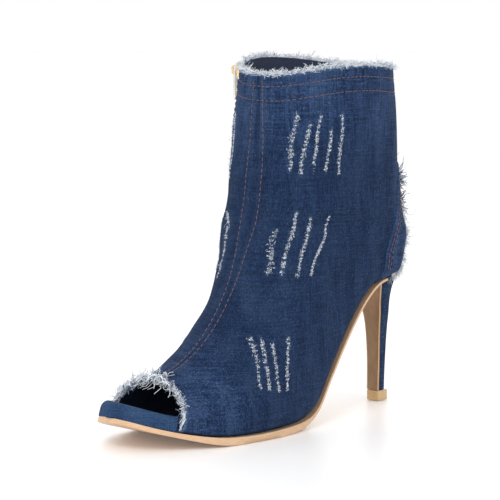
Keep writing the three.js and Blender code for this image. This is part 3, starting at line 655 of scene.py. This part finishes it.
def fray(base, out, side, length, lean=0.5, curl=0.6, turns=1.0, thick=0.13, pale=0.9):
    """Threads from base points: each goes out by its length, leans to the side and curls."""
    base, out, side = (np.reshape(v, (-1, 3)) for v in (base, out, side))
    count = len(base)
    third = unit(np.cross(out, side))
    s = np.linspace(0, 1, KNOTS)[None, :, None]
    length = np.broadcast_to(length, (count,)) * rng.uniform(0.45, 1.25, count)
    tilt, tip = rng.normal(0, lean, (count, 1, 1)), rng.normal(0, lean, (count, 1, 1))
    phase, pace = rng.uniform(0, 6.28, (count, 1, 1)), rng.uniform(0.5, 1.3, (count, 1, 1)) * turns
    wave = curl * rng.uniform(0.3, 1.2, (count, 1, 1)) * s
    path = base[:, None] + length[:, None, None] * s * (
        out[:, None] + side[:, None] * tilt * (0.6 + 0.6 * s) + third[:, None] * tip * (0.5 + 0.5 * s))
    turn = 6.28 * pace * s + phase
    path = path + wave * (side[:, None] * np.sin(turn) + third[:, None] * np.cos(turn))
    fray_paths.append(path)
    fray_radii.append(thick * rng.uniform(0.7, 1.3, (count, 1)) * (1 - 0.45 * np.linspace(0, 1, KNOTS)[None]))
    fray_tone.append(np.clip(rng.normal(pale, 0.16, count), 0, 1))


def lay(points, out, way, length, lean=0.4, bow=0.5, thick=0.14, pale=0.9):
    """Short floats of thread that lie on the cloth, across a direction."""
    points, out, way = (np.reshape(v, (-1, 3)) for v in (points, out, way))
    count = len(points)
    third = unit(np.cross(out, way))
    turn = rng.normal(0, lean, (count, 1))
    go = way * np.cos(turn) + third * np.sin(turn)
    s = np.linspace(-0.5, 0.5, KNOTS)[None, :, None]
    length = np.broadcast_to(length, (count,)) * rng.uniform(0.4, 1.3, count)
    height = bow * rng.uniform(0.2, 1.2, (count, 1, 1)) * (1 - 4 * s**2) + 0.04
    wiggle = rng.normal(0, 0.16, (count, KNOTS, 1))
    path = points[:, None] + go[:, None] * length[:, None, None] * s
    path = path + out[:, None] * height + third[:, None] * wiggle
    fray_paths.append(path)
    fray_radii.append(np.full((count, KNOTS), thick) * rng.uniform(0.7, 1.3, (count, 1)))
    fray_tone.append(np.clip(rng.normal(pale, 0.14, count), 0, 1))


def frayed(name, replaced=()):
    obj = tubes(name, np.vstack(fray_paths), np.vstack(fray_radii), THREAD, sides=3,
                tone=np.concatenate(fray_tone))
    if replaced:
        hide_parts(*replaced)
    for store in (fray_paths, fray_radii, fray_tone):
        store.clear()
    return obj


up = np.array([0, 0, 1.0])


def tufts(a, pace, shift=0.0):
    """An uneven share from 0 to 1 round an edge, thick where threads bunch."""
    wave = np.sin(pace * a + shift) + 0.7 * np.sin(2.3 * pace * a + 2 + shift)
    wave = wave + 0.5 * np.sin(5.1 * pace * a + 4)
    return np.clip(0.5 + wave / 4, 0, 1)


def collar_threads(count, depth):
    a = rng.uniform(0, 2 * math.pi, count)
    t = collar_t(a, rng.uniform(-0.1, 0.5, count))
    base, out = form(t, a), normal(t, a)
    out[:, 2] = 0
    out = unit(out)
    base = base - out * (depth * WALL)[:, None]
    clear = np.abs((base[:, :2] - ZIP_SPOT) @ ACROSS) > ZIP_WIDTH / 2
    clear |= base[:, 1] > 0
    clear &= rng.uniform(size=count) < 0.25 + tufts(a, 11)
    return base[clear], out[clear], unit(np.cross(up, out))[clear], tufts(a, 17, 1)[clear]


def collar_frays(count, low, high, aim, lengths, more):
    """Standing threads of the collar. aim is how far they go up and out; lengths is plain and in a tuft."""
    base, out, side, tuft = collar_threads(count, rng.uniform(low, high, count))
    fray(base, unit(aim[0] * up + aim[1] * out), side, lengths[0] + lengths[1] * tuft, *more)


# more: lean, curl, turns, thick, pale
collar_frays(1500, -0.1, 1, (1, 0.25), (1.7, 2.0), (0.6, 0.7, 1.0, 0.13, 0.97))
collar_frays(520, -0.15, 0.1, (0.4, 0.9), (1.3, 1.8), (0.8, 0.8, 1.0, 0.12, 0.75))
base, out, side, tuft = collar_threads(800, rng.uniform(-0.1, 1, 800))
lay(base + up * rng.uniform(-0.4, 2.2, (len(base), 1)), out, side, 4.5, lean=0.5, bow=0.8, thick=0.16,
    pale=0.97)
collar_frays(380, -0.15, 0.2, (1, 0.4), (2.4, 0), (0.9, 0.9, 1.6, 0.12, 0.3))
collar_frays(420, -0.1, 0.9, (1, 0.3), (1.6, 1.8), (0.9, 0.9, 1.4, 0.24, 1.0))
frayed("collar_threads", ["collar_fringe"])


def toe_threads(count, low, high):
    a = np.radians(rng.uniform(low, high, count))
    t = toe_t(a)
    base = form(t, a) - normal(t, a) * rng.uniform(-0.1, 0.95, (count, 1)) * WALL
    way = unit(form(toe_t(a + 0.02), a + 0.02) - form(toe_t(a - 0.02), a - 0.02))
    return base, unit(normal(t, a)), way


ahead = unit(np.array([1, 0, TOE_LEAN]))


def toe_frays(count, low, high, aim, length, more):
    """Standing threads of the toe edge between two angles. aim is how far they go ahead, out and up."""
    base, out, way = toe_threads(count, low, high)
    fray(base, unit(aim[0] * ahead + aim[1] * out + aim[2] * up), way, length, *more)


def toe_floats(count, low, high, start, end, length, more):
    """Threads that lie across the toe edge, from start to end ahead of it."""
    base, out, way = toe_threads(count, low, high)
    lay(base + ahead * rng.uniform(start, end, (len(base), 1)), out, way, length, *more)


# more: lean, curl, turns, thick, pale of the frays, and lean, bow, thick, pale of the floats
toe_frays(230, 16, 166, (1, 0.2, 0), 1.3, (0.7, 0.9, 1.6, 0.14, 0.75))
toe_floats(150, 16, 166, 0.1, 1.6, 4.0, (0.8, 1.2, 0.17, 0.9))
toe_frays(80, 66, 150, (1, 0.5, 0), 3.2, (0.9, 1.7, 2.2, 0.17, 0.95))
toe_frays(95, 64, 152, (1, 0.4, 0), 3.4, (1.1, 2.4, 1.5, 0.3, 0.97))
toe_floats(60, 68, 146, 0.2, 3.4, 7.0, (1.0, 2.8, 0.3, 0.98))
toe_frays(110, 60, 154, (1, 0.3, 0), 3.0, (0.9, 1.6, 1.5, 0.22, 0.12))
toe_frays(110, 26, 64, (0.4, 1, 0), 2.4, (0.6, 0.8, 1.4, 0.15, 0.9))
toe_frays(240, 20, 166, (1, 0.2, 0), 2.2, (0.8, 1.0, 1.6, 0.17, 0.2))
toe_frays(44, 10, 19, (1, 0, -1.6), 5.8, (0.2, 0.8, 1.4, 0.2, 0.85))
frayed("toe_threads", ["toe_fringe"])

# Slashes: broken knots of pale weft across each, with thin threads between them
def on_side(flat, sign):
    """Points of the side view, put onto the cloth on the outer (1) or inner (-1) side."""
    starts = np.stack([flat[:, 0], np.full(len(flat), sign * 20.0), flat[:, 1]], 1)
    return onto(starts, np.broadcast_to([0.0, sign, 0.0], starts.shape), 50)


for side, start, end in SLASHES:
    sign = 1 if side == "outer" else -1
    start, end = np.array(start, float), np.array(end, float)
    length = np.linalg.norm(end - start)
    knots = np.cumsum(rng.uniform(1.0, 3.0, int(length / 1.5)))
    knots = knots[knots < length] / length
    sway, swing = rng.uniform(2, 5), rng.uniform(0, 6)
    edge_on = side == "inner" and start[0] > 98
    scatter = 0.15 if edge_on else 0.5
    down = unit(np.array([end[0] - start[0], 0, end[1] - start[1]]))
    for amount, spread, reach, thick, pale in (
        (4, 0.45, 1.25, 0.11, 0.6), (4, 0.8, 1.5, 0.09, 0.42), (2, 0.12, 0.75, 0.19, 0.98),
    ):
        share = np.clip(np.repeat(knots, amount) + rng.normal(0, spread, amount * len(knots)) / length, 0, 1)
        flat = start + (end - start) * share[:, None]
        flat[:, 0] += scatter * np.sin(share * sway * 2 + swing) + rng.normal(0, scatter, len(share))
        hits, facing = on_side(flat, sign)
        across = unit(np.cross(facing, down))
        swell = rng.uniform(0.35, 1.25, len(knots)).repeat(amount)
        lay(hits, facing, across, reach * swell, lean=0.8, bow=0.35, thick=thick, pale=pale)
    share = rng.uniform(0, 1, int(length / 1.6))
    hits, facing = on_side(start + (end - start) * share[:, None] + rng.normal(0, 0.3, (len(share), 2)), sign)
    along = unit(np.cross(unit(np.cross(facing, down)), facing))
    lay(hits, facing, along, 2.4, lean=0.5, bow=0.25, thick=0.085, pale=0.6)
    fray(hits, facing, along, 1.6 if edge_on else 0.9, lean=0.7, curl=0.4, thick=0.09, pale=0.75)
frayed("slash_threads")

# Back frays at both sides of the counter's middle
for sign in (1, -1):
    for count, low, high, length, pale, thick, curl, wide in (
        (200, 0.05, 1.0, 2.2, 0.45, 0.17, 0.9, 1.6), (330, 0.72, 0.91, 4.6, 0.1, 0.26, 0.9, 1.6),
        (36, 0.82, 0.93, 3.2, 0.9, 0.16, 1.1, 1.6), (190, 0.18, 0.66, 4.4, 0.9, 0.25, 2.2, 1.6),
        (130, 0.0, 0.2, 3.6, 0.92, 0.24, 1.6, 3.0),
    ):
        share = rng.uniform(low, high, count)
        t = (SEAT + 0.4 + (COUNTER_TOP - SEAT - 0.4) * share) / LAST
        a = -math.pi / 2 + sign * np.radians(rng.normal(17, wide, count))
        p, n = form(t, a), normal(t, a)
        uneven = 0.45 + 1.1 * tufts(share, 21, sign)
        fray(p + n * 0.9, n, np.broadcast_to(up, p.shape), length * uneven, lean=0.65, curl=curl, turns=1.4,
             thick=thick, pale=pale)
# the loose threads where the counter meets the sole on the outer side
share = rng.uniform(0, 1, 260)
t = (SEAT - 0.9 + 1.1 * share) / LAST
a = -math.pi / 2 + np.radians(rng.normal(24, 7, 260))
p, n = form(t, a), normal(t, a)
fray(p + n * 0.9, n, np.broadcast_to(up, p.shape), 2.2, lean=0.8, curl=1.2, turns=1.8, thick=0.15, pale=0.85)
frayed("back_threads", ["back_fringe_outer", "back_fringe_inner"])


# Sole, footbed, heel and breast as smooth lofts
def feather(t):
    width, shape = curve(TRACKS[2], t), curve(TRACKS[3], t)
    reach = width[..., 2] * np.linalg.norm(curve(TRACKS[1], t) - curve(TRACKS[0], t), axis=-1)
    share = (1 - np.maximum(0, 1 - 3.5 / reach) ** shape[..., 0]) ** (1 / shape[..., 0])
    return width[..., 0] * share, width[..., 1] * share


def underside(t):
    here = curve(TRACKS[0], t)
    along = curve(TRACKS[0], np.minimum(t + 1e-3, 1)) - curve(TRACKS[0], np.maximum(t - 1e-3, 0))
    along[..., 1] = 0
    return here, unit(np.cross(np.array([0, 1.0, 0]), along))


def loft(name, rings, used, uv=False):
    """A skin over closed rings, with a fan of triangles at each end."""
    rows, cols = rings.shape[:2]
    points = np.vstack([rings.reshape(-1, 3), rings[0].mean(0), rings[-1].mean(0)])
    here, after = np.arange(cols), (np.arange(cols) + 1) % cols
    first, last = np.full(cols, rows * cols), np.full(cols, rows * cols + 1)
    far = (rows - 1) * cols
    ends = np.vstack([np.stack([after, here, first], 1), np.stack([far + here, far + after, last], 1)])
    flat = np.vstack([cloth_map(rings, 0).reshape(-1, 2), [[0, 0], [0, 0]]]) if uv else None
    return add_mesh(name, points, grid_faces(rows, cols, closed=True), used, flat, ends)


def strip(t, profile):
    """Rings along the underside: profile gives, for each ring, pairs of (across, up) round the section."""
    here, upward = underside(t)
    rings = here[:, None] + upward[:, None] * profile[..., 1:2]
    rings[..., 1] = here[:, None, 1] + profile[..., 0]
    return rings


def rounded(outer, inner, bottom, top, low, high, stretch=1.0, count=7):
    """A closed section round from the inner side's foot. low and high are the radii of its corners, and the
    upper ones reach stretch times as far across."""
    size = np.shape(outer)
    bottom, top, low, high = (np.broadcast_to(np.asarray(v, float), size) for v in (bottom, top, low, high))
    turns, shares = np.linspace(0, math.pi / 2, count), np.linspace(0.1, 0.9, 7)
    section = [(low * (1 - math.cos(k)) - inner, bottom + low * (1 - math.sin(k))) for k in turns]
    section += [(low - inner + (inner + outer - 2 * low) * share, bottom) for share in shares]
    section += [(outer - low * (1 - math.sin(k)), bottom + low * (1 - math.cos(k))) for k in turns]
    wide = high * stretch
    section += [(outer - wide * (1 - math.cos(k)), top - high * (1 - math.sin(k))) for k in turns]
    section += [(outer - wide - (inner + outer - 2 * wide) * share, top) for share in shares]
    section += [(wide * (1 - math.sin(k)) - inner, top - high * (1 - math.cos(k))) for k in turns]
    return np.stack([np.stack(pair, -1) for pair in section], -2)


def nosed(rings, reach, flat, raised=0.0):
    """Rounds the first ring off towards the toe, down to this share of its height and up from the foot."""
    first = rings[0]
    middle, foot = first[:, 1].mean(), first[:, 2].min()
    caps = []
    for turn in np.radians([89, 75, 60, 45, 30, 15]):
        ring = first.copy()
        ring[:, 0] += reach * math.sin(turn)
        ring[:, 1] = middle + (first[:, 1] - middle) * math.cos(turn)
        ring[:, 2] = foot + raised * (1 - math.cos(turn))
        ring[:, 2] += (first[:, 2] - foot) * (flat + (1 - flat) * math.cos(turn))
        caps.append(ring)
    return np.vstack([np.array(caps), rings])


t = np.concatenate([[0.0005, 0.002, 0.005, 0.009], np.linspace(0.014, (SEAT - 1.4) / LAST, 150)])
here, _ = underside(t)
outer, inner = feather(t)
share = smooth(here[:, 0], 83, 117)
toe_share = smooth(here[:, 0], 160, 198)
thickness = 1.2 + 2.1 * share - 1.4 * toe_share
rim = 0.3 + 0.65 * share - 0.3 * toe_share
sole_rings = strip(t, rounded(outer + 0.5, inner + 0.5, -thickness, rim, 0.3, 0.22))
sole_rings = nosed(sole_rings, 0.8, 1.0)
sole_rings[..., 2] = np.maximum(sole_rings[..., 2], 0)
sole = loft("sole_sheet", sole_rings, SOLE)
t = np.linspace(2 / LAST, 9 / LAST, 60)
outer, inner = feather(t)
here, _ = underside(t)
keep = (here[:, 0] > 95) & (here[:, 0] < 150)
t, outer, inner = t[keep], outer[keep], inner[keep]
tread_rings = strip(t, rounded(outer - 3, inner - 3, -5, -0.6, 0.3, 0.2))
tread_rings[..., 2] = np.maximum(tread_rings[..., 2], 0)
loft("forefoot_tread", tread_rings, SOLE)
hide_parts("outsole")

t = np.concatenate([[0.0008, 0.003, 0.007, 0.011], np.linspace(0.016, 0.668, 150)])
here, _ = underside(t)
outer, inner = feather(t)
inside = smooth(-here[:, 0], -193.5, -190.5)
from_tip = np.clip((FOOT - OFFSET - here[:, 0]) / 9, 0, 1)
LIP, BOARD = 9.6, 4.2
lip = LIP - 2.1 + 2.1 * np.sqrt(1 - (1 - from_tip) ** 2)
height = lip - (LIP - BOARD) * smooth(-here[:, 0], -193, -178)
radius = np.minimum(4.6 - 3.8 * inside, np.minimum(outer, inner) * 0.6)
spread = 0.9 - 4.4 * inside
low_corner = np.minimum(1.8 - 1.0 * inside, radius)
bed_rings = strip(t, rounded(outer + spread, inner + spread, 0.5 - 0.35 * inside, height, low_corner, radius,
                              1.35 - 0.35 * inside))
lean = (1 - inside)[:, None] * np.clip(bed_rings[..., 1] / 20, -1, 1)
bed_rings[..., 2] -= 1.2 * lean * smooth(bed_rings[..., 2] - here[:, None, 2], 1, 8)
bed_rings = nosed(bed_rings, 2.0, 0.4, 1.9)
bed = loft("footbed_cover", bed_rings, BED, uv=True)
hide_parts("insole")

# Heel sections: level, back, half width, middle
HEEL_ROWS = np.array([
    [82.5, 0.8, 24.2, 1], [80, 0.6, 23.2, 1], [76, -0.8, 18.8, 1.2], [72, -2.4, 14.8, 1.5],
    [67, -3.7, 11.2, 1.8], [61, -4.7, 8.4, 2], [54, -5.2, 6.7, 2], [44, -5.3, 5.4, 1.4],
    [30, -5.1, 4.7, 0.7], [16, -4.9, 4.4, 0.2], [6.5, -4.8, 4.3, 0]], float)
# Heel's front face: level, distance ahead
BREAST_LINE = np.array([
    [6.2, 4.4], [24, 4.8], [40, 6.2], [50, 7.6], [58, 9.4], [66, 12.4], [72, 16.4], [77, 22], [84, 30]])


def heel_rings(levels):
    """Back, half width, middle and front of the heel at each level."""
    rows = curve(HEEL_ROWS, np.linspace(0, 1, 400))
    line = curve(BREAST_LINE, np.linspace(0, 1, 400))
    order = np.argsort(rows[:, 0])
    back, side, middle = (np.interp(levels, rows[order, 0], rows[order, k]) for k in (1, 2, 3))
    return back, side, middle, np.interp(levels, line[:, 0], line[:, 1])


levels = np.linspace(6.5, 81.8, 110)
back, side, middle, front_x = heel_rings(levels)
face_x = front_x - 1.6
turn = front_x - np.minimum(side * 0.5, (front_x - back) * 0.5)
angle = np.linspace(0, math.pi, 25)
rings = []
for k, z in enumerate(levels):
    arc = [(turn[k] - (turn[k] - back[k]) * math.sin(w), middle[k] + side[k] * math.cos(w)) for w in angle]
    near = [(face_x[k], middle[k] + side[k] * 0.95), (face_x[k] - 0.5, middle[k] + side[k] * 0.985)]
    far = [(face_x[k] - 0.5, middle[k] - side[k] * 0.985), (face_x[k], middle[k] - side[k] * 0.95)]
    inner_line = [(face_x[k], middle[k] + side[k] * w) for w in (-0.5, 0, 0.5)]
    rings.append([(x, y, z) for x, y in near + arc + far + inner_line])
heel = loft("heel_cover", np.array(rings), HEEL_CLOTH, uv=True)
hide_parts("heel")

levels, edge = np.linspace(6.5, 79.6, 110), 0.45
back, side, middle, front_x = heel_rings(levels)
rings = []
for k, z in enumerate(levels):
    w, x0, x1, cut = side[k] * 0.955, front_x[k] - 1.45, front_x[k], edge * 0.3
    rear = [(x0, y) for y in (-w, -w / 3, w / 3, w)]
    corner = [(x1 - edge, w), (x1 - cut, w - cut), (x1, w - edge)]
    outline = rear + corner + [(x1, w * 0.33), (x1, -w * 0.33)] + [(x, -y) for x, y in corner[::-1]]
    rings.append([(x, middle[k] + y, z) for x, y in outline])
breast = loft("heel_breast_cover", np.array(rings), BREAST)
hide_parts("heel_breast")
# the pale edges of the breast cover
edge_paths = []
for sign in (1, -1):
    edge_paths.append(np.stack([front_x - 0.2, middle + sign * side * 0.965, levels], 1))
tubes("breast_edges", edge_paths, 0.32, SOLE, sides=6)


def bevelled(node, name, width, used, body="boot", segments=2, angle=30):
    """A copy of a solid, merged, with its edges rounded."""
    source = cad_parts[node]
    obj = source.copy()
    obj.data = source.data.copy()
    for key in list(obj.keys()):
        del obj[key]
    obj.name = name
    obj.parent = None
    bpy.context.scene.collection.objects.link(obj)
    bpy.ops.object.select_all(action="DESELECT")
    obj.select_set(True)
    bpy.context.view_layer.objects.active = obj
    bpy.ops.object.mode_set(mode="EDIT")
    bpy.ops.mesh.select_all(action="SELECT")
    bpy.ops.mesh.remove_doubles(threshold=2e-6)
    bpy.ops.mesh.dissolve_limited(angle_limit=math.radians(1))
    bpy.ops.object.mode_set(mode="OBJECT")
    cut = obj.modifiers.new("round", "BEVEL")
    cut.width, cut.segments, cut.limit_method = width / 1000, segments, "ANGLE"
    cut.angle_limit = math.radians(angle)
    cut.harden_normals = False
    bpy.ops.object.modifier_apply(modifier=cut.name)
    bpy.ops.object.shade_smooth_by_angle(angle=math.radians(40))
    obj.data.materials.clear()
    obj.data.materials.append(used)
    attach(obj, body)
    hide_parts(node)
    return obj


bevelled("top_piece", "heel_tip_block", 0.35, TIP)
bevelled("zip_slider", "slider_body", 0.28, GOLD)
bevelled("pull_tab", "pull", 0.3, SILVER, body="pull_tab")

# Zip tape and coil
zt = np.linspace(slot_low + 0.002, float(collar_t(np.array(zip_a))), 170)
cols = np.linspace(-4.8, 4.8, 15)
tape_a = np.stack([zip_angle(zt, c) for c in cols], 1)
tape_t = np.repeat(zt[:, None], len(cols), 1)
face = form(tape_t, tape_a) - normal(tape_t, tape_a) * 1.1
rear = form(tape_t, tape_a) - normal(tape_t, tape_a) * 2.1
points = np.vstack([face.reshape(-1, 3), rear.reshape(-1, 3)])
size = face.shape[0] * face.shape[1]
tape_shape = (len(zt), len(cols))
tape_faces = np.vstack([grid_faces(*tape_shape), grid_faces(*tape_shape, start=size, flip=True)])
uv = np.tile(cloth_map(face, 0).reshape(-1, 2), (2, 1))
tape = add_mesh("zip_tape_cloth", points, tape_faces, TAPE, uv)
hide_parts("zip_tape")
walk = form(zt, zip_angle(zt))
line, spots = even_path(walk, 0.2)
z_top = float(collar_edge(walk[-1])) - 4 - 4.6
coil_paths = []
for k, at in enumerate(np.arange(3.5, spots[-1], 0.66)):
    t_here = np.interp(at, spots, np.interp(spots, np.linspace(0, spots[-1], len(zt)), zt))
    sign = 1 if k % 2 else -1
    offs = np.array([2.2, 2.25, 1.4, 0.3, -0.6]) * sign
    rise = np.array([-0.95, -0.35, -0.05, 0.02, -0.35])
    ang = zip_angle(np.full(5, t_here), offs)
    p = form(np.full(5, t_here), ang) + normal(np.full(5, t_here), ang) * rise[:, None]
    if p[:, 2].max() < z_top:
        coil_paths.append(p)
coil = tubes("zip_coil_turns", coil_paths, 0.36, COIL, sides=6)
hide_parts("zip_teeth")

# Stage, light and camera
bpy.ops.mesh.primitive_plane_add(size=60, location=(0, 0, -0.0003))
floor = bpy.context.object
floor.name = "floor"
floor.data.materials.append(material("white_floor", (0.93, 0.93, 0.93), 0.35, Emission_Color=(1, 1, 1, 1),
                                     Emission_Strength=0.06))
world = bpy.data.worlds.new("studio")
bpy.context.scene.world = world
world.use_nodes = True
world.node_tree.nodes["Background"].inputs[0].default_value = (1, 1, 1, 1)
world.node_tree.nodes["Background"].inputs[1].default_value = 1.0


def lamp(name, place, aim, power, size, color=(1, 1, 1)):
    data = bpy.data.lights.new(name, "AREA")
    data.energy, data.size, data.color = power, size, color
    obj = bpy.data.objects.new(name, data)
    bpy.context.scene.collection.objects.link(obj)
    obj.location = place
    obj.rotation_euler = (Vector(aim) - Vector(place)).to_track_quat("-Z", "Y").to_euler()


lamp("key", (1.1, 0.5, 1.1), (0.1, 0, 0.1), 7, 0.5)
lamp("side", (0.0, 1.2, 0.6), (0.1, 0, 0.1), 1.5, 0.8)
lamp("rim", (-0.7, -0.8, 0.9), (0.08, 0, 0.12), 2.5, 0.6)

camera_data = bpy.data.cameras.new("camera")
camera = bpy.data.objects.new("camera", camera_data)
bpy.context.scene.collection.objects.link(camera)
camera_data.lens, camera_data.sensor_width = 148, 36
camera_data.clip_start, camera_data.clip_end = 0.05, 20
camera.location = (0.9565, 0.7862, 0.224)
turn, pitch = math.radians(46 + 1.0), math.radians(5.5 + 0.62)
aim = Vector((-math.sin(turn) * math.cos(pitch), -math.cos(turn) * math.cos(pitch), -math.sin(pitch)))
camera.rotation_euler = aim.to_track_quat("-Z", "Y").to_euler()
bpy.context.scene.camera = camera
bpy.context.scene.view_settings.view_transform = "Standard"
